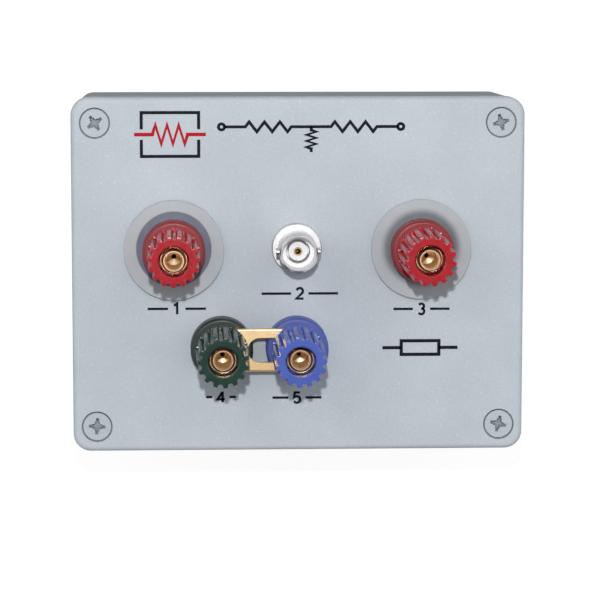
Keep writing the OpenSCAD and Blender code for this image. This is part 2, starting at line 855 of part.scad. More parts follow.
module coax_shell() {
    barrel_r = coax_barrel_d / 2;
    mouth_r = coax_mouth_d / 2;
    core_hole_r = coax_core_d / 2 + core_gap;
    flange_bevel = 0.3;
    rim_bevel = 0.45;
    mouth_bevel = 0.15;
    color(nickel) at_post(coax_at, panel_z) {
        rotate_extrude()
            polygon([
                [core_hole_r, coax_rear],
                [coax_thread_d / 2, coax_rear],
                [coax_thread_d / 2, 0],
                [coax_flange_d / 2, 0],
                [coax_flange_d / 2, coax_flange_t - flange_bevel],
                [coax_flange_d / 2 - flange_bevel, coax_flange_t],
                [barrel_r, coax_flange_t],
                [barrel_r, coax_h - rim_bevel],
                [barrel_r - rim_bevel, coax_h],
                [mouth_r + mouth_bevel, coax_h],
                [mouth_r, coax_h - mouth_bevel],
                [mouth_r, coax_h - coax_mouth_depth],
                [coax_well_d / 2, coax_h - coax_mouth_depth],
                [coax_well_d / 2, coax_h - coax_well_depth],
                [core_hole_r, coax_h - coax_well_depth]
            ]);
        for (s = [-1, 1])
            translate([0, 0, coax_h - coax_lug_drop])
                rotate([0, s * 90, 0])
                    translate([0, 0, (barrel_r + mouth_r) / 2])
                        cylinder(d = coax_lug_d, h = coax_lug_span / 2 - (barrel_r + mouth_r) / 2);
    }
}

module coax_insulator() {
    color(plastic_white) at_post(coax_at, coax_core_end_z)
        ring(coax_core_d, coax_pin_d + 2 * core_gap, coax_h - coax_core_drop - coax_core_end);
}

module coax_contact() {
    pin_front = coax_h - coax_core_drop - coax_pin_recess;
    tail_end = turret_top_z - turret_sink - panel_z;
    color(gold) at_post(coax_at, panel_z)
        difference() {
            union() {
                translate([0, 0, coax_core_end])
                    cylinder(d = coax_pin_d, h = pin_front - coax_core_end);
                translate([0, 0, tail_end])
                    cylinder(d = coax_tail_d, h = coax_core_end - tail_end + over);
            }
            translate([0, 0, pin_front - coax_pin_depth])
                cylinder(d = coax_pin_hole_d, h = coax_pin_depth + over);
        }
}

coax_lug_z = panel_back_z - lug_t;

module coax_lug() {
    color(tin) at_post(coax_at, coax_lug_z) rotate(ground_to_coax + 180)
        lug(coax_lug_ring_d, coax_thread_d + 2 * seat_gap, coax_eye_reach);
}

module coax_lock_washer() {
    color(nickel) at_post(coax_at, coax_lug_z - lug_t)
        ring(coax_washer_d, coax_thread_d + 2 * seat_gap, lug_t);
}

module coax_nut() {
    color(nickel) at_post(coax_at, coax_lug_z - lug_t - coax_nut_t)
        difference() {
            hexagon(coax_nut_flats, coax_nut_t);
            translate([0, 0, -over])
                cylinder(d = coax_thread_d + 2 * seat_gap, h = coax_nut_t + 2 * over);
        }
}

// The network: two long arms meet a short shunt at the turret under the coaxial socket

red_cup_z = red_seat_z - stud_l;
low_cup_z = low_seat_z - stud_l;
lead_into_cup = 2.5;

module along(a, b) {
    translate([a[0], a[1], 0]) rotate(atan2(b[1] - a[1], b[0] - a[0])) children();
}

module network_tube(a, b, l) {
    color(glass_brown) along(a, b)
        translate([norm(b - a) / 2, 0, network_z]) rotate([0, 90, 0])
            cylinder(d = tube_d, h = l, center = true);
}

module end_cap(x) {
    translate([x, 0, network_z]) rotate([0, 90, 0])
        cylinder(d = tube_d + 2 * end_cap_lip, h = end_cap_l);
}

module network_leads(a, b, l, cup_z) {
    span = norm(b - a);
    near = (span - l) / 2;
    far = (span + l) / 2;
    color(tin) along(a, b) {
        end_cap(near - end_cap_l);
        wire_run([
            [0, 0, cup_z + lead_into_cup],
            [0, 0, network_z],
            [near - end_cap_l / 2, 0, network_z]
        ], lead_d);
        end_cap(far);
        wire_run([
            [far + end_cap_l / 2, 0, network_z],
            [span - lead_start, 0, network_z]
        ], lead_d);
    }
}

module source_tube() network_tube(source_at, coax_at, arm_tube_l);
module source_leads() network_leads(source_at, coax_at, arm_tube_l, red_cup_z);
module output_tube() network_tube(output_at, coax_at, arm_tube_l);
module output_leads() network_leads(output_at, coax_at, arm_tube_l, red_cup_z);
module shunt_tube() network_tube(ground_at, coax_at, shunt_tube_l);
module shunt_leads() network_leads(ground_at, coax_at, shunt_tube_l, low_cup_z);

module centre_turret() {
    hole_d = lead_d + 2 * run_gap;
    color(gold)
        difference() {
            at_post(coax_at, turret_top_z - turret_h) cylinder(d = turret_d, h = turret_h);
            at_post(coax_at, turret_top_z - turret_sink - run_gap)
                cylinder(d = coax_tail_d + 2 * run_gap, h = turret_sink + over);
            for (at = [source_at, output_at, ground_at])
                along(coax_at, at)
                    translate([lead_start - run_gap, 0, network_z]) rotate([0, 90, 0])
                        cylinder(d = hole_d, h = turret_d);
        }
}

// Point at the given reach from a, towards the angle, at height z
function reach_point(a, angle, reach, z) = [a[0] + reach * cos(angle), a[1] + reach * sin(angle), z];

module ground_wire() {
    low_z = lug_z - nut_t;
    color(post_green)
        wire_run([
            reach_point(ground_at, ground_to_coax, lug_reach, rear_z + wire_past_lug),
            reach_point(ground_at, ground_to_coax, lug_reach, low_z),
            reach_point(coax_at, ground_to_coax + 180, coax_eye_reach, low_z),
            reach_point(coax_at, ground_to_coax + 180, coax_eye_reach, panel_back_z - wire_end_gap)
        ], wire_d);
}

// The guard tray on its insulating pillars

module guard_tray() {
    color(nickel)
        difference() {
            translate([0, 0, tray_z]) {
                translate([-tray_w / 2, -tray_d / 2, 0]) cube([tray_w, tray_d, tray_t]);
                for (s = [-1, 1]) {
                    wall_l = tray_w - 2 * tray_corner_gap;
                    wall_w = tray_d - 2 * tray_corner_gap;
                    translate([-wall_l / 2, s * (tray_d - tray_t) / 2 - tray_t / 2, 0])
                        cube([wall_l, tray_t, tray_h]);
                    translate([s * (tray_w - tray_t) / 2 - tray_t / 2, -wall_w / 2, 0])
                        cube([tray_t, wall_w, tray_h]);
                }
            }
            tray_places() translate([0, 0, tray_z - over])
                cylinder(d = tray_screw_d + 2 * seat_gap, h = tray_t + 2 * over);
        }
}

module tray_pillars() {
    color(plastic_white)
        tray_places() translate([0, 0, floor_z + tray_boss_h])
            ring(tray_pillar_d, tray_screw_d + 2 * seat_gap, tray_pillar_h);
}

module tray_screws() {
    shank_l = tray_t + tray_pillar_h + tray_boss_h;
    slot_w = 0.8;
    color(plastic_white)
        tray_places() translate([0, 0, tray_z + tray_t])
            difference() {
                union() {
                    cylinder(d = tray_screw_head_d, h = tray_screw_head_h);
                    translate([0, 0, -shank_l]) cylinder(d = tray_screw_d, h = shank_l + over);
                }
                translate([-tray_screw_head_d, -slot_w / 2, tray_screw_head_h / 2])
                    cube([2 * tray_screw_head_d, slot_w, tray_screw_head_h]);
            }
}

module guard_wire() {
    eye = reach_point(guard_at, -90, lug_reach, rear_z + wire_past_lug);
    wall_y = -tray_d / 2 - wire_d / 2;
    color(post_blue)
        wire_run([
            eye,
            [eye[0], eye[1], lug_z - nut_t],
            [eye[0], wall_y, tray_z + tray_h + over],
            [eye[0], wall_y, tray_z + tray_h / 2]
        ], wire_d);
}

enclosure_base();
enclosure_lid();
lid_gasket();
lid_screws();
rubber_feet();
source_disc();
source_collar();
source_shaft();
source_washer();
source_cap();
source_insert();
source_rear_disc();
output_disc();
output_collar();
output_shaft();
output_washer();
output_cap();
output_insert();
output_rear_disc();
ground_collar();
ground_shaft();
ground_washer();
ground_cap();
ground_insert();
ground_insulator();
ground_lug();
guard_collar();
guard_shaft();
guard_washer();
guard_cap();
guard_insert();
guard_insulator();
guard_lug();
stud_nuts();
shorting_link();
coax_shell();
coax_insulator();
coax_contact();
coax_lug();
coax_lock_washer();
coax_nut();
source_tube();
source_leads();
output_tube();
output_leads();
shunt_tube();
shunt_leads();
centre_turret();
ground_wire();
guard_tray();
tray_pillars();
tray_screws();
guard_wire();
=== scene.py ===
# Looks of a bench standard resistor that lies on its feet with the panel facing up.
# Lengths are in metres unless a name or comment says millimetres.
import json
import math

import bmesh
import bpy
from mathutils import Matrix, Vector


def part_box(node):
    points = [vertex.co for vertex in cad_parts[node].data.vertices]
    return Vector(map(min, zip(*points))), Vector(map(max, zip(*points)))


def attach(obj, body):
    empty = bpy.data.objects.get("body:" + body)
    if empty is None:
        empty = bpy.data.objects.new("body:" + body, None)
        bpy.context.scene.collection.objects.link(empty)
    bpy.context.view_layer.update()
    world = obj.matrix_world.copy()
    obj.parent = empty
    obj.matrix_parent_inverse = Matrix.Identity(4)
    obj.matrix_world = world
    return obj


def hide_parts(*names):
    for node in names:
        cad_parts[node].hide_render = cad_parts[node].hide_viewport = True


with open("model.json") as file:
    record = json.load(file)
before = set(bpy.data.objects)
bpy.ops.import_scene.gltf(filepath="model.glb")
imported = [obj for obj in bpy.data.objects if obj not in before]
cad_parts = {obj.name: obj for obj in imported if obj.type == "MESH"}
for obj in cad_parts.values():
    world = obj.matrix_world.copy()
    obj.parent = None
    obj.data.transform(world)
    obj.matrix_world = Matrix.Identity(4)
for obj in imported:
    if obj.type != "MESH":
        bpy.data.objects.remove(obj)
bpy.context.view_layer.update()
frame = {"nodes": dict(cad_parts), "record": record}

MM = 0.001
SCENE = bpy.context.scene


# Camera: the photograph's viewpoint, a little above and left of the middle of the panel

CAMERA_AT_MM = (-29.87, 80.49, 731.58)
CAMERA_TILT_DEG = (-7.235, -2.532, 0.018)
LENS_MM = 163.09
SENSOR_MM = 36.0
CLIP_START = 0.05
CLIP_END = 20.0


def make_camera():
    data = bpy.data.cameras.new("photo_camera")
    data.lens = LENS_MM
    data.sensor_width = SENSOR_MM
    data.clip_start = CLIP_START
    data.clip_end = CLIP_END
    camera = bpy.data.objects.new("photo_camera", data)
    camera.location = Vector(CAMERA_AT_MM) * MM
    camera.rotation_euler = [math.radians(a) for a in CAMERA_TILT_DEG]
    SCENE.collection.objects.link(camera)
    SCENE.camera = camera


make_camera()
SCENE.view_settings.view_transform = "Standard"


# Places that the frame gives

def middle(node):
    low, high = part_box(node)
    return (low + high) / 2


POST_COLOURS = {"source": "red", "output": "red", "ground": "green", "guard": "blue"}
POST_AT = {post: middle(post + "_shaft").xy for post in POST_COLOURS}
COAX_AT = middle("coax_contact").xy
PANEL_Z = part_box("enclosure_lid")[1].z
SCREW_FACE_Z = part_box("lid_screws")[1].z

# The screw at the upper right: its head reaches to the corner of the box of all four.
SCREW_HEAD_R = 3.55 * MM
SCREW_AT = [edge - SCREW_HEAD_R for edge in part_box("lid_screws")[1].xy]


# Node trees

# Sockets of a Mix node that mixes colours: its factor and two colours, and its result
MIX_INPUTS = (0, 6, 7)
MIX_OUTPUT = 2


def shade(colour, amount):
    """A colour made darker or paler by one factor."""
    return tuple(c * amount for c in colour)


def opaque(value):
    """Red, green, blue and alpha of a colour, or of a number as a grey."""
    colour = value if hasattr(value, "__len__") else (value, value, value)
    return (*colour, 1.0)


class Tree:
    """Node tree of a material or of the world, with a short call for each kind of node in use."""

    def __init__(self, owner):
        owner.use_nodes = True
        self.nodes = owner.node_tree.nodes
        self.links = owner.node_tree.links

    def feed(self, socket, value):
        """Gives a socket another node's output, a colour or a number."""
        if isinstance(value, bpy.types.NodeSocket):
            self.links.new(value, socket)
        elif socket.type == "RGBA":
            socket.default_value = opaque(value)
        else:
            socket.default_value = value

    def feed_all(self, node, inputs):
        """Feeds a node's inputs by name, with underscores for spaces."""
        for name, value in inputs.items():
            self.feed(node.inputs[name.replace("_", " ")], value)

    def add(self, kind, **inputs):
        node = self.nodes.new("ShaderNode" + kind)
        self.feed_all(node, inputs)
        return node

    def operate(self, kind, operation, *operands):
        """A Math or VectorMath node."""
        node = self.add(kind)
        node.operation = operation
        for socket, value in zip(node.inputs, operands):
            self.feed(socket, value)
        return node

    def compute(self, operation, *operands):
        return self.operate("Math", operation, *operands).outputs["Value"]

    def mix(self, factor, first, second, blend="MIX"):
        """Colour that is the first one at factor 0, and at factor 1 the second one laid over it."""
        node = self.add("Mix")
        node.data_type = "RGBA"
        node.blend_type = blend
        for index, value in zip(MIX_INPUTS, (factor, first, second)):
            self.feed(node.inputs[index], value)
        return node.outputs[MIX_OUTPUT]

    def ramp(self, factor, stops):
        """Colour ramp from (position, number or colour) stops."""
        node = self.add("ValToRGB", Fac=factor)
        elements = node.color_ramp.elements
        while len(elements) < len(stops):
            elements.new(0.5)
        for element, (position, value) in zip(elements, stops):
            element.position = position
            element.color = opaque(value)
        return node.outputs["Color"]

    def step(self, value, centre, spread):
        """Smooth change from 0 to 1 round a value."""
        node = self.add("MapRange", Value=value, From_Min=centre - spread, From_Max=centre + spread)
        node.interpolation_type = "SMOOTHSTEP"
        return node.outputs["Result"]

    def ray_is(self, first, *others):
        """1 for rays of the kinds named, and 0 for all others."""
        path = self.add("LightPath")
        found = path.outputs[f"Is {first} Ray"]
        for kind in others:
            found = self.compute("MAXIMUM", found, path.outputs[f"Is {kind} Ray"])
        return found


class Finish(Tree):
    """A new material. Its patterns follow each point's place in the part's frame."""

    def __init__(self, name):
        self.material = bpy.data.materials.new(name)
        super().__init__(self.material)
        self.shader = self.nodes["Principled BSDF"]
        self.place = self.add("TexCoord").outputs["Object"]

    def set(self, **inputs):
        self.feed_all(self.shader, inputs)

    def noise(self, scale, detail=2.0, roughness=0.5, place=None):
        place = self.place if place is None else place
        node = self.add("TexNoise", Vector=place, Scale=scale, Detail=detail, Roughness=roughness)
        return node.outputs["Fac"]

    def cloud(self, scale, low, high, detail=2.0, roughness=0.5, ends=(0.3, 0.7)):
        """Drift between two numbers or colours, reached where the noise has the two values of ends."""
        return self.ramp(self.noise(scale, detail, roughness), [(ends[0], low), (ends[1], high)])

    def tinted(self, colour, low, high, scale, detail=3.0, roughness=0.5):
        """A colour that drifts between two shades of itself."""
        return self.cloud(scale, shade(colour, low), shade(colour, high), detail, roughness)

    def height(self):
        return self.add("SeparateXYZ", Vector=self.place).outputs["Z"]

    def from_axis(self, at, place=None):
        """Distance from an upright axis through a place on the panel."""
        place = self.place if place is None else place
        flat = self.operate("VectorMath", "MULTIPLY", place, (1.0, 1.0, 0.0)).outputs["Vector"]
        return self.operate("VectorMath", "DISTANCE", flat, (*at, 0.0)).outputs["Value"]

    def bump(self, relief, strength, distance, over=None):
        """Normal of a relief, over the surface itself or over another normal."""
        node = self.add("Bump", Height=relief, Strength=strength, Distance=distance)
        if over is not None:
            self.feed(node.inputs["Normal"], over)
        return node.outputs["Normal"]


# Places where a finish changes, which follow the solids.
# A fade is how far the change reaches to each side.

# The hole in the panel is painted onto the milky disc over it as painted shade, a little further up the
# panel than the hole is.
HOLE_R = 9.5 * MM
HOLE_SHIFT = 0.4 * MM

# The finish of a bore covers its wall and ends just outside it.
SOCKET_EDGE_R = 2.11 * MM
PIN_HOLE_EDGE_R = 0.73 * MM
MOUTH_EDGE_R = 4.13 * MM
BORE_FADE = 0.03 * MM
# Painted shade: the pin hole in each socket's floor is near black
CORE_HOLE_EDGE_R = 0.59 * MM
CORE_HOLE_FADE = 0.06 * MM

# Depths are measured down from a shaft's tip.
SHAFT_END_DEPTH = 0.6 * MM
SHAFT_END_FADE = 0.2 * MM
SOCKET_FLOOR_DEPTH = 10.2 * MM
SOCKET_FLOOR_FADE = 0.1 * MM
SOCKET_FLOOR_SLOPE = -0.23
TOOL_MARK_DEPTH = 0.007 * MM

# The painted shade on each insert ends at this radius, short of its corners.
INSERT_GLINT_R = 3.08 * MM
INSERT_GLINT_FADE = 0.06 * MM
BARREL_START_Z = PANEL_Z + 2.2 * MM
BARREL_START_FADE = 0.2 * MM
WELL_TOP_Z = PANEL_Z + 8.9 * MM
WELL_TOP_FADE = 0.1 * MM

# Painted shade along the rims and in the cross recesses of the lid's screws
SCREW_RIM_R = 3.73 * MM
SCREW_RIM_HALF_W = 0.20 * MM
SCREW_RIM_FADE = 0.16 * MM
SCREW_RECESS_R = 2.8 * MM
SCREW_RECESS_FADE = 0.2 * MM
SCREW_CENTRE_R = 0.8 * MM
SCREW_CENTRE_FADE = 0.7 * MM
SCREW_SHADE_Z = SCREW_FACE_Z - 0.22 * MM
SCREW_SHADE_FADE = 0.14 * MM


# Colours, as linear red, green and blue

PANEL_COLOUR = (0.51, 0.56, 0.61)
SCREW_COLOUR = shade(PANEL_COLOUR, 0.95)
# Painted shade: the case's sides take a darker copy of the panel's coat
CASE_SHADED_COLOUR = (0.48, 0.518, 0.548)
RED = (0.41, 0.017, 0.026)
GREEN = (0.018, 0.046, 0.034)
BLUE = (0.076, 0.122, 0.46)
WHITE = (0.93, 0.93, 0.93)
DISC_PALE = (0.425, 0.448, 0.475)
# Painted shade of the hole behind each milky disc
DISC_HOLE_SHADE = (0.12, 0.135, 0.19)
DISC_HOLE_SHADE_SOFT = (0.135, 0.155, 0.172)
GOLD = (0.85, 0.58, 0.30)
GOLD_BORE = (0.90, 0.63, 0.29)
GOLD_FACE = (0.80, 0.57, 0.39)
# Painted highlight: a paler gold for the floor of each socket
GOLD_FLOOR_HIGHLIGHT = (1.0, 0.90, 0.68)
LINK_GOLD = (0.96, 0.69, 0.37)
# Painted shade round the bore of each insert
INSERT_SHADE = (0.10, 0.045, 0.022)
INSERT_BRIGHT = (0.76, 0.53, 0.30)
NICKEL = (0.66, 0.66, 0.67)
TIN = (0.66, 0.66, 0.66)
# Painted light: a pale lining inside the coaxial socket's mouth
MOUTH_PAINTED_LIGHT = (0.84, 0.84, 0.85)
# Painted light: a faint glow deep in the coaxial socket's well
WELL_PAINTED_GLOW = (0.03, 0.03, 0.03)
SEAL_BLACK = (0.02, 0.02, 0.022)
FOOT_BLACK = (0.02, 0.02, 0.02)
TUBE_BROWN = (0.10, 0.035, 0.015)
SLEEVE_GREEN = (0.01, 0.08, 0.02)
SLEEVE_BLUE = (0.02, 0.04, 0.30)
DARK_PRINT = (0.007, 0.009, 0.018)
RED_PRINT = (0.42, 0.010, 0.018)


# Other values of the finishes: shares of a colour, gloss, roughness and metal

PLASTIC_IOR = 1.5
# Shares of the colour kept in the painted shade at the screws
RIM_SHADE = 0.56
CENTRE_SHADE = 0.82
ARM_SHADE = 0.66
SPECK_PALE = 1.38
SPECK_SIZE = 0.17
SPECK_FADE = 0.25
COAT_GLOSS = 0.12
INK_GLOSS = 0.1
INK_ROUGHNESS = 0.6
SHAFT_ROUGHNESS = 0.14
END_ROUGHNESS = 0.38
FACED_ROUGHNESS = 0.26
BORE_ROUGHNESS = 0.45
BORE_METAL = 0.3
MATT_NICKEL = 0.50
POLISHED_NICKEL = 0.32
# Metal share of the painted light inside the coaxial socket's mouth
MOUTH_METAL = 0.15
# Painted shade: share of the gold in the pin hole at the bottom of each socket
CORE_HOLE_SHADE = 0.08
# Painted shade: shares of the gold in the coaxial contact's hole and on its end
PIN_HOLE_SHADE = 0.2
PIN_END_SHADE = 0.47


# Materials

def screw_painted_shade(finish, coat, colour):
    """Painted shade that darkens a coat along the rims and in the cross recesses of the lid's screws,
    less at the middle of each recess.

    The panel is folded to the quarter that holds the screw at SCREW_AT, so one screw serves for four.
    """
    quarter = finish.operate("VectorMath", "ABSOLUTE", finish.place).outputs["Vector"]
    distance = finish.from_axis(SCREW_AT, quarter)
    off_rim = finish.compute("ABSOLUTE", finish.compute("SUBTRACT", distance, SCREW_RIM_R))
    unshaded_rim = finish.step(off_rim, SCREW_RIM_HALF_W, SCREW_RIM_FADE)
    rim_shaded = finish.mix(unshaded_rim, shade(colour, RIM_SHADE), coat)
    above = finish.step(finish.height(), SCREW_SHADE_Z, SCREW_SHADE_FADE)
    beyond = finish.step(distance, SCREW_RECESS_R, SCREW_RECESS_FADE)
    unshaded = finish.mix(1.0, above, beyond, "LIGHTEN")
    outward = finish.step(distance, SCREW_CENTRE_R, SCREW_CENTRE_FADE)
    recess_shade = finish.mix(outward, shade(colour, CENTRE_SHADE), shade(colour, ARM_SHADE))
    return finish.mix(unshaded, recess_shade, rim_shaded)


def powder_coat(name, colour, gloss, speck_share=0.35, shade_round_screws=False):
    """Fine orange-peel coat with a faint mottle and small pale specks."""
    finish = Finish(name)
    mottle = finish.tinted(colour, low=0.96, high=1.03, scale=70.0)
    grain = finish.cloud(scale=1900.0, low=0.955, high=1.035, roughness=0.6, ends=(0.32, 0.68))
    body = finish.mix(1.0, mottle, grain, "MULTIPLY")
    cells = finish.add("TexVoronoi", Vector=finish.place, Scale=750.0, Randomness=1.0)
    dots = finish.ramp(cells.outputs["Distance"], [(0.0, 1.0), (SPECK_SIZE, 0.0)])
    chosen = finish.ramp(cells.outputs["Color"], [(speck_share, 0.0), (speck_share + SPECK_FADE, 1.0)])
    specks = finish.mix(1.0, dots, chosen, "MULTIPLY")
    coat = finish.mix(specks, body, shade(colour, SPECK_PALE))
    # Painted shade at the rims and recesses of the lid's screws
    if shade_round_screws:
        coat = screw_painted_shade(finish, coat, colour)
    peel = finish.noise(scale=1500.0, detail=3.0, roughness=0.55)
    finish.set(Base_Color=coat, Specular_IOR_Level=gloss,
               Roughness=finish.cloud(scale=900.0, low=0.40, high=0.52),
               Normal=finish.bump(peel, strength=0.6, distance=0.12 * MM))
    return finish.material


def moulded(name, colour, roughness):
    """Moulded thermoplastic with a faint mottle, scuffs and a soft skin."""
    finish = Finish(name)
    body = finish.tinted(colour, low=0.90, high=1.07, scale=260.0, detail=4.0, roughness=0.6)
    scuffs = finish.cloud(scale=700.0, low=roughness - 0.03, high=roughness + 0.06, detail=3.0,
                          ends=(0.3, 0.75))
    skin = finish.bump(finish.noise(scale=700.0), strength=0.06, distance=0.04 * MM)
    finish.set(Base_Color=body, Roughness=scuffs, IOR=PLASTIC_IOR, Normal=skin)
    return finish.material


def metal(name, colour, roughness, stretch=(1.0, 1.0, 1.0), grain=0.06, dents=0.05):
    """Plated or bare metal: slight tone changes, and fine marks drawn out along an axis."""
    finish = Finish(name)
    drawn = finish.add("Mapping", Vector=finish.place, Scale=stretch).outputs["Vector"]
    marks = finish.noise(scale=1400.0, detail=3.0, roughness=0.6, place=drawn)
    finish.set(Metallic=1.0, Base_Color=finish.tinted(colour, low=0.93, high=1.03, scale=320.0),
               Roughness=finish.ramp(marks, [(0.3, roughness), (0.75, roughness + grain)]),
               Normal=finish.bump(marks, strength=dents, distance=0.05 * MM))
    return finish.material


def milky_disc(name, at, blur, hole_shade_colour):
    """Milky plastic with the round hole in the panel painted on as a darker zone: painted shade."""
    finish = Finish(name)
    far = finish.step(finish.from_axis((at[0], at[1] + HOLE_SHIFT)), HOLE_R, blur)
    pale = finish.tinted(DISC_PALE, low=0.97, high=1.03, scale=240.0)
    dim = finish.tinted(hole_shade_colour, low=0.93, high=1.08, scale=200.0)
    finish.set(Base_Color=finish.mix(far, dim, pale),
               Roughness=finish.cloud(scale=600.0, low=0.30, high=0.42, detail=3.0))
    return finish.material


def drilled(finish, distance, on_floor):
    """Normal of a drilled socket: rings left by the tool, and on the floor a cone that falls outwards."""
    cone = finish.bump(distance, strength=on_floor, distance=SOCKET_FLOOR_SLOPE)
    outwards = finish.add("CombineXYZ", X=distance).outputs[0]
    rings = finish.noise(scale=8000.0, detail=1.0, place=outwards)
    return finish.bump(rings, strength=1.0, distance=TOOL_MARK_DEPTH, over=cone)


def bored_gold(name, at, tip):
    """Gold-plated shaft: polished round the outside, satin on its end and in its drilled socket. The
    socket's floor is a paler gold, painted highlight, and the pin hole in it near black, painted shade.
    """
    finish = Finish(name)
    distance = finish.from_axis(at)
    level = finish.height()
    outside = finish.step(distance, SOCKET_EDGE_R, BORE_FADE)
    end = finish.step(level, tip - SHAFT_END_DEPTH, SHAFT_END_FADE)
    raised = finish.step(level, tip - SOCKET_FLOOR_DEPTH, SOCKET_FLOOR_FADE)
    beside_hole = finish.step(distance, CORE_HOLE_EDGE_R, CORE_HOLE_FADE)
    # Painted highlight on the socket's floor, and painted shade round the pin hole in it
    floor = finish.mix(beside_hole, shade(GOLD, CORE_HOLE_SHADE), GOLD_FLOOR_HIGHLIGHT)
    inside = finish.mix(raised, floor, GOLD_BORE)
    ring = finish.mix(end, GOLD, GOLD_FACE)
    bore_skin = finish.mix(raised, FACED_ROUGHNESS, BORE_ROUGHNESS)
    ring_skin = finish.mix(end, SHAFT_ROUGHNESS, END_ROUGHNESS)
    finish.set(Base_Color=finish.mix(outside, inside, ring),
               Roughness=finish.mix(outside, bore_skin, ring_skin),
               Metallic=finish.mix(outside, finish.mix(raised, 1.0, BORE_METAL), 1.0),
               Normal=drilled(finish, distance, on_floor=finish.mix(raised, 1.0, 0.0)))
    return finish.material


def captive_insert(name, at):
    """Gold insert in a cap: painted shade round its bore, plain gold towards its corners."""
    finish = Finish(name)
    corner = finish.step(finish.from_axis(at), INSERT_GLINT_R, INSERT_GLINT_FADE)
    bore_shade = finish.tinted(INSERT_SHADE, low=0.9, high=1.1, scale=320.0)
    bright = finish.tinted(INSERT_BRIGHT, low=0.93, high=1.0, scale=320.0)
    finish.set(Metallic=1.0, Base_Color=finish.mix(corner, bore_shade, bright),
               Roughness=finish.cloud(scale=900.0, low=0.34, high=0.40))
    return finish.material


def bored_contact(name, at):
    """Satin gold contact, darkened on its end and near black in its hole: painted shade."""
    finish = Finish(name)
    outside = finish.step(finish.from_axis(at), PIN_HOLE_EDGE_R, BORE_FADE)
    finish.set(Metallic=1.0, Base_Color=finish.mix(outside, shade(GOLD, PIN_HOLE_SHADE), shade(GOLD, PIN_END_SHADE)),
               Roughness=finish.cloud(scale=900.0, low=0.38, high=0.46))
    return finish.material


def nickel_socket(name, at):
    """Nickel plate: matt on the flange, polished round the barrel, and inside the mouth a pale non-metal
    that is painted light, with a faint painted glow deep in the well.
    """
    finish = Finish(name)
    level = finish.height()
    barrel = finish.step(level, BARREL_START_Z, BARREL_START_FADE)
    outer = finish.step(finish.from_axis(at), MOUTH_EDGE_R, BORE_FADE)
    mouth = finish.step(level, WELL_TOP_Z, WELL_TOP_FADE)
    plate = finish.tinted(NICKEL, low=0.92, high=1.0, scale=320.0)
    grit = finish.noise(scale=1500.0, detail=3.0)
    polished = finish.mix(1.0, barrel, outer, "MULTIPLY")
    outside_well = finish.mix(1.0, mouth, outer, "LIGHTEN")
    # Inside the mouth a pale non-metal, and deep in the well a faint glow: painted light
    finish.set(Base_Color=finish.mix(outer, MOUTH_PAINTED_LIGHT, plate),
               Metallic=finish.mix(outer, MOUTH_METAL, 1.0),
               Roughness=finish.mix(polished, MATT_NICKEL, POLISHED_NICKEL),
               Emission_Color=finish.mix(outside_well, WELL_PAINTED_GLOW, 0.0), Emission_Strength=1.0,
               Normal=finish.bump(grit, strength=0.06, distance=0.05 * MM))
    return finish.material


def ink(name, colour):
    """Screen-printed ink with a slightly uneven film."""
    finish = Finish(name)
    finish.set(Base_Color=finish.tinted(colour, low=0.8, high=1.3, scale=1500.0, detail=2.0),
               Roughness=INK_ROUGHNESS, Specular_IOR_Level=INK_GLOSS)
    return finish.material


# The coat of the case is matt: a gloss would mirror the white floor in its upright sides. Its colour is a
# darker copy of the panel's, painted shade.
MATERIALS = {
    "painted_panel": powder_coat("panel_coat", PANEL_COLOUR, COAT_GLOSS, shade_round_screws=True),
    "painted_case": powder_coat("case_shaded_coat", CASE_SHADED_COLOUR, gloss=0.0),
    "painted_screw": powder_coat("screw_coat", SCREW_COLOUR, COAT_GLOSS, shade_round_screws=True,
                                 speck_share=0.75),
    "seal": moulded("seal_rubber", SEAL_BLACK, roughness=0.6),
    "rubber": moulded("foot_rubber", FOOT_BLACK, roughness=0.65),
    "red_plastic": moulded("red_moulding", RED, roughness=0.22),
    "green_plastic": moulded("green_moulding", GREEN, roughness=0.22),
    "blue_plastic": moulded("blue_moulding", BLUE, roughness=0.22),
    "white_plastic": moulded("white_insulator", WHITE, roughness=0.4),
    "gold": metal("gold_plate", GOLD, SHAFT_ROUGHNESS),
    "link_gold": metal("satin_gold", LINK_GOLD, roughness=0.34, stretch=(1.0, 12.0, 12.0),
                       grain=0.1, dents=0.1),
    "nickel": metal("nickel_plate", NICKEL, roughness=0.20),
    "tin": metal("tinned_metal", TIN, roughness=0.35),
    "glass_body": moulded("glazed_body", TUBE_BROWN, roughness=0.2),
    "green_wire": moulded("green_sleeve", SLEEVE_GREEN, roughness=0.45),
    "blue_wire": moulded("blue_sleeve", SLEEVE_BLUE, roughness=0.45),
}
# The collars are darker copies of their caps' plastic, painted shade under the caps, and rougher.
SHADED_COLLARS = {
    "red_plastic": moulded("red_collar_shaded_moulding", shade(RED, 0.58), roughness=0.40),
    "green_plastic": moulded("green_collar_shaded_moulding", shade(GREEN, 0.5), roughness=0.42),
    "blue_plastic": moulded("blue_collar_shaded_moulding", shade(BLUE, 0.8), roughness=0.45),
}
# How softly the painted shade of the hole shows on each disc, and in which colour.
DISC_ZONES = {
    "source_disc": (0.2 * MM, DISC_HOLE_SHADE),
    "output_disc": (1.2 * MM, DISC_HOLE_SHADE_SOFT),
    "source_rear_disc": (0.5 * MM, DISC_HOLE_SHADE),
    "output_rear_disc": (0.5 * MM, DISC_HOLE_SHADE),
}
DARK_INK = ink("dark_ink", DARK_PRINT)
RED_INK = ink("red_ink", RED_PRINT)


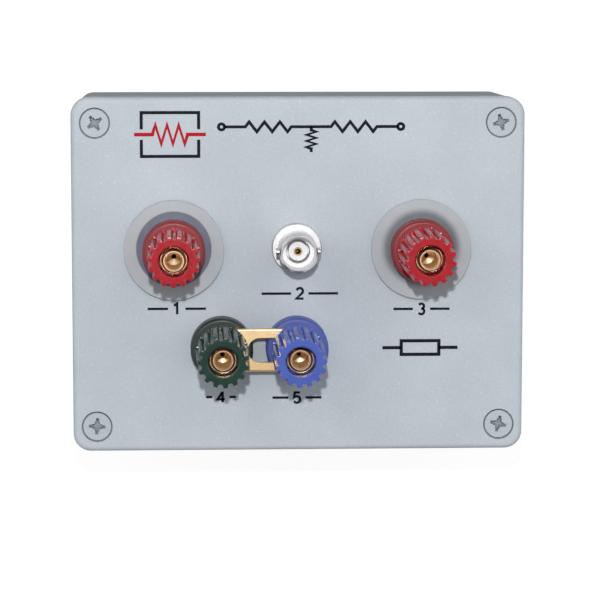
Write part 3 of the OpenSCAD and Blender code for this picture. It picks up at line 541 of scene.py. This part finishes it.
def dress_frame():
    """Gives each node of the frame the finish of its material slot."""
    slots = {part["node"]: part["material_slot"] for part in frame["record"]["subparts"]}
    for name, obj in frame["nodes"].items():
        post, _, role = name.partition("_")
        if name in DISC_ZONES:
            finish = milky_disc(name + "_milky", middle(name).xy, *DISC_ZONES[name])
        elif role == "shaft":
            finish = bored_gold(post + "_bored_gold", POST_AT[post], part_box(name)[1].z)
        elif role == "insert":
            finish = captive_insert(post + "_insert_gold", POST_AT[post])
        elif role == "collar":
            finish = SHADED_COLLARS[slots[name]]
        elif name == "coax_contact":
            finish = bored_contact("contact_gold", COAX_AT)
        elif name == "coax_shell":
            finish = nickel_socket("socket_nickel", COAX_AT)
        else:
            finish = MATERIALS[slots[name]]
        obj.data.materials.clear()
        obj.data.materials.append(finish)


dress_frame()


# Meshes, built in millimetres

MERGE_MM = 1e-5
SHARP_DEG = 35.0


def finish_mesh(name, bm, material, body):
    """Turns a bmesh in millimetres into a smooth-shaded piece that rides on a body."""
    bmesh.ops.remove_doubles(bm, verts=bm.verts, dist=MERGE_MM)
    bmesh.ops.recalc_face_normals(bm, faces=bm.faces)
    bmesh.ops.scale(bm, vec=(MM, MM, MM), verts=bm.verts)
    mesh = bpy.data.meshes.new(name)
    bm.to_mesh(mesh)
    bm.free()
    mesh.shade_smooth()
    mesh.set_sharp_from_angle(angle=math.radians(SHARP_DEG))
    obj = bpy.data.objects.new(name, mesh)
    SCENE.collection.objects.link(obj)
    mesh.materials.append(material)
    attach(obj, body)
    return obj


def bridge(bm, lower, upper):
    """Quads between two closed rings of the same number of vertices."""
    count = len(lower)
    for i in range(count):
        j = (i + 1) % count
        bm.faces.new((lower[i], lower[j], upper[j], upper[i]))


# Fluted caps, with lengths in millimetres

CAP_RIBS = 15
CAP_TURN_DEG = {"source": 4.4, "output": 15.9, "ground": 11.0, "guard": 1.9}
CAP_BASE_R = 6.6
CAP_TIP_R = 6.4
CAP_BEVEL = 0.3
SEAT_GAP = 0.03
GROOVE_FLOOR_R = 5.4
GROOVE_START = 1.1
GROOVE_END_R = 0.25
GROOVE_FLOOR_HALF_W = 0.46
GROOVE_MOUTH_HALF_W = 0.76
GROOVE_FILLET_R = 0.20
RIB_EDGE_R = 0.20
FRONT_HOLE_R = 3.75
FRONT_HOLE_DEPTH = 6.1
POCKET_FLAT_R = 3.18
WIRE_SPACE_R = 3.1
WIRE_SPACE_H = 2.6


def half_flute(floor_r, rim_r, spread):
    """From the middle of a groove to the middle of a rib, as (degrees, radius) points."""
    fillet = math.degrees(GROOVE_FILLET_R / GROOVE_FLOOR_R)
    edge = math.degrees(RIB_EDGE_R / CAP_TIP_R)
    flat = spread * math.degrees(GROOVE_FLOOR_HALF_W / GROOVE_FLOOR_R) - spread * fillet
    mouth = spread * math.degrees(GROOVE_MOUTH_HALF_W / CAP_TIP_R)
    half_pitch = 180.0 / CAP_RIBS
    drop = min(RIB_EDGE_R, rim_r - floor_r)
    rise = min(GROOVE_FILLET_R, rim_r - floor_r)
    points = [(flat * i / 2, floor_r) for i in range(3)]
    for turn in map(math.radians, (30, 60, 90)):
        points.append((flat + spread * fillet * math.sin(turn), floor_r + rise * (1 - math.cos(turn))))
    for turn in map(math.radians, (0, 30, 60, 90)):
        points.append((mouth + edge * (1 - math.cos(turn)), rim_r - drop * (1 - math.sin(turn))))
    start = mouth + edge
    points += [(start + (half_pitch - start) * i / 3, rim_r) for i in range(1, 4)]
    return points


def flute_ring(floor_r, rim_r, spread, turn_deg):
    """A whole turn of grooves and ribs, as (radians, radius) points."""
    half = half_flute(floor_r, rim_r, spread)
    ring = []
    for rib in range(CAP_RIBS):
        centre = turn_deg + 360.0 * (rib + 0.5) / CAP_RIBS
        ring += [(math.radians(centre - a), r) for a, r in reversed(half[1:])]
        ring += [(math.radians(centre + a), r) for a, r in half[:-1]]
    return ring


def pocket_r(angle):
    """Radius of the hexagonal pocket for the insert, at an angle."""
    return POCKET_FLAT_R / math.cos((angle + math.pi / 6) % (math.pi / 3) - math.pi / 6)


def cap_levels(length, turn_deg):
    """The cap's surface as rings of (radians, radius, height), up the outside and down the hole."""
    angles = [a for a, _ in flute_ring(GROOVE_FLOOR_R, CAP_TIP_R, 1.0, turn_deg)]

    def rim_at(height):
        return CAP_BASE_R + (CAP_TIP_R - CAP_BASE_R) * height / length

    def plain(radius, height):
        return [(a, radius, height) for a in angles]

    def fluted(height, rim_r, spread):
        return [(a, r, height) for a, r in flute_ring(GROOVE_FLOOR_R, rim_r, spread, turn_deg)]

    levels = [plain(CAP_BASE_R - CAP_BEVEL, SEAT_GAP)]
    for turn in map(math.radians, (45, 90)):
        levels.append(plain(CAP_BASE_R - CAP_BEVEL * (1 - math.sin(turn)),
                            SEAT_GAP + (CAP_BEVEL - SEAT_GAP) * (1 - math.cos(turn))))
    levels.append(plain(rim_at(GROOVE_START), GROOVE_START))
    for turn in map(math.radians, (14, 30, 50, 70, 90)):
        height = GROOVE_START + GROOVE_END_R * (1 - math.cos(turn))
        levels.append(fluted(height, rim_at(height), math.sin(turn)))
    for turn in map(math.radians, (0, 30, 60, 90)):
        height = length - CAP_BEVEL * (1 - math.sin(turn))
        levels.append(fluted(height, CAP_TIP_R - CAP_BEVEL * (1 - math.cos(turn)), 1.0))
    hole_floor = length - FRONT_HOLE_DEPTH
    levels.append(plain(GROOVE_FLOOR_R - RIB_EDGE_R, length))
    levels.append(plain(FRONT_HOLE_R + CAP_BEVEL, length))
    levels.append(plain(FRONT_HOLE_R, length - CAP_BEVEL))
    levels.append(plain(FRONT_HOLE_R, hole_floor))
    for height in (hole_floor, WIRE_SPACE_H):
        levels.append([(a, pocket_r(a), height) for a in angles])
    levels.append(plain(WIRE_SPACE_R, WIRE_SPACE_H))
    levels.append(plain(WIRE_SPACE_R, SEAT_GAP))
    return levels


def fluted_cap(post):
    """The screw cap of one post, in place of its plain solid."""
    low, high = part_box(post + "_cap")
    x, y = POST_AT[post] / MM
    bm = bmesh.new()
    rings = []
    for level in cap_levels((high.z - low.z) / MM, CAP_TURN_DEG[post]):
        rings.append([bm.verts.new((x + r * math.cos(a), y + r * math.sin(a), low.z / MM + h))
                      for a, r, h in level])
    for lower, upper in zip(rings, rings[1:] + rings[:1]):
        bridge(bm, lower, upper)
    slot = POST_COLOURS[post] + "_plastic"
    cap = finish_mesh(post + "_fluted_cap", bm, MATERIALS[slot], post + "_cap_body")
    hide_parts(post + "_cap")


for each_post in POST_COLOURS:
    fluted_cap(each_post)


# Printing on the panel: plain numbers and circuit symbols, drawn as thin films of ink.
# Places and sizes are in millimetres on the panel.

INK_T = 0.03
LINE_W = 0.75
BAR_W = 0.62
BAR_START = 2.2
BLOCK_LINE_W = 0.85
GUARD_BOX_LINE_W = 0.8
GUARDED_LINE_W = 0.9
MITRE_LIMIT = 0.45
ZIGZAG_PEAKS = 3

# Each label's name, number, middle and width
LABELS = [
    ("source", "1", -30.87, -8.45, 14.8),
    ("centre", "2", 0.33, -4.70, 19.4),
    ("output", "3", 31.32, -8.79, 14.3),
    ("ground", "4", -19.74, -31.15, 7.6),
    ("guard", "5", -0.37, -31.41, 12.5),
]
SYMBOL_AT = (31.0, -18.73)
BLOCK_HALF_W = 4.8
BLOCK_HALF_H = 1.75
BLOCK_REACH = 9.6

DIAGRAM_ROW = 37.6
DIAGRAM_X = (-19.4, 3.2, 25.8)
DIAGRAM_RING_R = 0.75
DIAGRAM_SWING = 1.25
OUTER_LEAD = 6.0
INNER_LEAD = 5.0
SHUNT_LEAD = 0.9
SHUNT_L = 6.4

GUARDED_AT = (-32.33, 35.72)
GUARD_HALF_W = 7.2
GUARD_HALF_H = 5.5
GUARD_HALF_GAP = 1.3
GUARDED_REACH = 9.0
GUARDED_HALF_L = 4.4
GUARDED_SWING = 2.4


def zigzag(start, end, swing):
    """Points of a resistor's zigzag between two points."""
    a, b = Vector(start), Vector(end)
    along = (b - a) / (4 * ZIGZAG_PEAKS)
    across = Vector((-along.y, along.x)).normalized() * swing
    points = [a]
    for i in range(ZIGZAG_PEAKS):
        points += [a + along * (4 * i + 1) + across, a + along * (4 * i + 3) - across]
    return points + [b]


def arc(centre, radius, start_deg, end_deg, count=8):
    """Points of an arc in count equal steps."""
    turns = [math.radians(start_deg + (end_deg - start_deg) * i / count) for i in range(count + 1)]
    return [Vector((centre[0] + radius * math.cos(t), centre[1] + radius * math.sin(t))) for t in turns]


def add_line(bm, points, width, closed=False):
    """A flat line of one width along points, with mitred corners."""
    points = [Vector(p) for p in points]
    count = len(points)
    sides = []
    for i, point in enumerate(points):
        before = points[i - 1] if closed or i > 0 else point
        after = points[(i + 1) % count] if closed or i < count - 1 else point
        first = (point - before).normalized()
        second = (after - point).normalized()
        heading = (first + second).normalized()
        normal = Vector((-heading.y, heading.x))
        edge = first if first.length > 0 else second
        reach = width / 2 / max(MITRE_LIMIT, abs(normal.dot(Vector((-edge.y, edge.x)))))
        sides.append([bm.verts.new((*(point + normal * reach * k), 0.0)) for k in (1, -1)])
    for i in range(count if closed else count - 1):
        j = (i + 1) % count
        bm.faces.new((sides[i][0], sides[i][1], sides[j][1], sides[j][0]))


def print_lines(name, lines, width, material):
    """One film of ink on the panel from lines, each as (points, whether it is closed)."""
    bm = bmesh.new()
    for points, closed in lines:
        add_line(bm, points, width, closed)
    raised = bmesh.ops.extrude_face_region(bm, geom=bm.faces[:])["geom"]
    lifted = [v for v in raised if isinstance(v, bmesh.types.BMVert)]
    bmesh.ops.translate(bm, vec=(0.0, 0.0, INK_T), verts=lifted)
    bmesh.ops.translate(bm, vec=(0.0, 0.0, PANEL_Z / MM), verts=bm.verts)
    finish_mesh(name, bm, material, "box")


def digit_strokes(digit):
    """Strokes of a number 2.8 high round its middle."""
    return {
        "1": [[(-0.7, 0.75), (0.1, 1.4), (0.1, -1.4)]],
        "2": [arc((0.0, 0.6), 0.8, 165, -35) + [Vector((-0.85, -1.3)), Vector((0.95, -1.3))]],
        "3": [arc((-0.05, 0.68), 0.68, 150, -90), arc((-0.05, -0.65), 0.75, 90, -150)],
        "4": [[(0.4, -1.4), (0.4, 1.4)], [(0.4, 1.3), (-0.9, -0.6), (0.95, -0.6)]],
        "5": [[(0.75, 1.3), (-0.6, 1.3), (-0.7, 0.1)] + arc((-0.05, -0.5), 0.85, 120, -150)],
    }[digit]


def print_label(name, digit, x, y, width):
    """A number with a bar at each side, as wide as the whole label."""
    at = Vector((x, y))
    lines = [([at + Vector(p) for p in stroke], False) for stroke in digit_strokes(digit)]
    lines += [([(x + k * BAR_START, y), (x + k * width / 2, y)], False) for k in (-1, 1)]
    print_lines("label_" + name, lines, BAR_W, DARK_INK)


def print_diagram():
    """Three resistors joined in a T, with a ring at each open end."""
    left, centre, right = DIAGRAM_X
    row = DIAGRAM_ROW
    foot = row - SHUNT_L
    rings = [(arc((x, row), DIAGRAM_RING_R, 0, 345, count=23), True) for x in (left, right)]
    across = [(left + DIAGRAM_RING_R, row)]
    across += zigzag((left + OUTER_LEAD, row), (centre - INNER_LEAD, row), DIAGRAM_SWING)
    across += zigzag((centre + INNER_LEAD, row), (right - OUTER_LEAD, row), DIAGRAM_SWING)
    across += [(right - DIAGRAM_RING_R, row)]
    shunt = [(centre, row)]
    shunt += zigzag((centre, row - SHUNT_LEAD), (centre, foot + SHUNT_LEAD), DIAGRAM_SWING)
    shunt += [(centre, foot)]
    print_lines("diagram_lines", rings + [(across, False), (shunt, False)], LINE_W, DARK_INK)


def print_symbol():
    """A resistor's block symbol: a box with a lead at each end."""
    x, y = SYMBOL_AT
    left, right = x - BLOCK_HALF_W, x + BLOCK_HALF_W
    low, high = y - BLOCK_HALF_H, y + BLOCK_HALF_H
    block = ([(left, low), (right, low), (right, high), (left, high)], True)
    leads = [([(x + k * BLOCK_HALF_W, y), (x + k * BLOCK_REACH, y)], False) for k in (-1, 1)]
    print_lines("block_symbol", [block] + leads, BLOCK_LINE_W, DARK_INK)


def print_guarded():
    """A resistor inside a square guard box, with its leads led out through gaps in the sides."""
    x, y = GUARDED_AT
    left, right = x - GUARD_HALF_W, x + GUARD_HALF_W
    halves = []
    for k in (1, -1):
        near, far = y + k * GUARD_HALF_GAP, y + k * GUARD_HALF_H
        halves.append(([(left, near), (left, far), (right, far), (right, near)], False))
    print_lines("guard_box", halves, GUARD_BOX_LINE_W, DARK_INK)
    line = [(x - GUARDED_REACH, y)]
    line += zigzag((x - GUARDED_HALF_L, y), (x + GUARDED_HALF_L, y), GUARDED_SWING)
    line += [(x + GUARDED_REACH, y)]
    print_lines("guarded_resistor", [(line, False)], GUARDED_LINE_W, RED_INK)


for each_label in LABELS:
    print_label(*each_label)
print_diagram()
print_symbol()
print_guarded()


# Floor, backdrop and light

FLOOR_SIZE = 6.0
FLOOR_DROP = 0.1 * MM
FLOOR_GREY = 0.20
FLOOR_ROUGHNESS = 0.9
FLOOR_GLOW = 0.90
FLASH_AT = (-0.034, 0.163, 0.700)
FLASH_SIZE = 18 * MM
FLASH_WATTS = 2.42
WORLD_STRENGTH = 1.38
WORLD_WHITE = 0.725

# Brightness of the room, as (position, level) stops: from the horizon up to the ceiling, and from the
# middle out to the walls at the left and right. It is also dimmer towards the front than at the back.
ROOM_BY_HEIGHT = [(0.0, 0.03), (0.15, 0.12), (0.38, 1.0), (0.74, 1.0),
                  (0.86, 0.45), (0.93, 0.05), (1.0, 0.03)]
ROOM_BY_SPAN = [(0.10, 0.12), (0.55, 1.0)]
ROOM_FRONT_DIM = 0.35
ROOM_FRONT_END = -0.8
ROOM_BACK_START = 0.2
HORIZON_HEIGHT = 0.16
HORIZON_FADE = 0.06


def make_floor():
    """Pale floor that keeps shadows, and glows for the rays that show it as a background."""
    bpy.ops.mesh.primitive_plane_add(size=FLOOR_SIZE, location=(0.0, 0.0, -FLOOR_DROP))
    floor = bpy.context.object
    floor.name = "floor"
    finish = Finish("pale_floor")
    finish.set(Base_Color=FLOOR_GREY, Roughness=FLOOR_ROUGHNESS, Specular_IOR_Level=0.0)
    seen = finish.ray_is("Camera", "Glossy", "Transmission")
    glow = finish.add("Emission", Strength=finish.compute("MULTIPLY", seen, FLOOR_GLOW))
    total = finish.add("AddShader")
    finish.feed(total.inputs[0], finish.shader.outputs[0])
    finish.feed(total.inputs[1], glow.outputs[0])
    finish.feed(finish.nodes["Material Output"].inputs["Surface"], total.outputs[0])
    floor.data.materials.append(finish.material)


def make_flash():
    """Small lamp a little above the camera, aimed at the middle of the panel."""
    data = bpy.data.lights.new("flash", "AREA")
    data.shape = "DISK"
    data.size = FLASH_SIZE
    data.energy = FLASH_WATTS
    flash = bpy.data.objects.new("flash", data)
    flash.location = FLASH_AT
    aim = Vector((0.0, 0.0, PANEL_Z)) - Vector(FLASH_AT)
    flash.rotation_euler = aim.to_track_quat("-Z", "Y").to_euler()
    SCENE.collection.objects.link(flash)


def make_world():
    """Soft room with bright walls and a dim ceiling, before a backdrop that is white.

    The camera sees the backdrop all round. Glossy and transmission rays see it near the horizon only,
    because the gold and the nickel face a dim ceiling in the photograph.
    """
    world = bpy.data.worlds.new("soft_room")
    SCENE.world = world
    tree = Tree(world)
    split = tree.add("SeparateXYZ", Vector=tree.add("TexCoord").outputs["Generated"])
    up = split.outputs["Z"]
    rise = tree.ramp(up, ROOM_BY_HEIGHT)
    walls = tree.ramp(tree.compute("ABSOLUTE", split.outputs["X"]), ROOM_BY_SPAN)
    front = tree.add("MapRange", Value=split.outputs["Y"],
                     From_Min=ROOM_FRONT_END, From_Max=ROOM_BACK_START, To_Min=ROOM_FRONT_DIM)
    room = tree.mix(1.0, tree.mix(1.0, rise, walls, "MULTIPLY"), front.outputs["Result"], "MULTIPLY")
    near_horizon = tree.compute("SUBTRACT", 1.0, tree.step(up, HORIZON_HEIGHT, HORIZON_FADE))
    mirrored = tree.compute("MULTIPLY", tree.ray_is("Glossy", "Transmission"), near_horizon)
    backdrop = tree.compute("MAXIMUM", tree.ray_is("Camera"), mirrored)
    tree.feed_all(tree.nodes["Background"],
                  {"Color": tree.mix(backdrop, room, WORLD_WHITE), "Strength": WORLD_STRENGTH})


make_floor()
make_world()
make_flash()
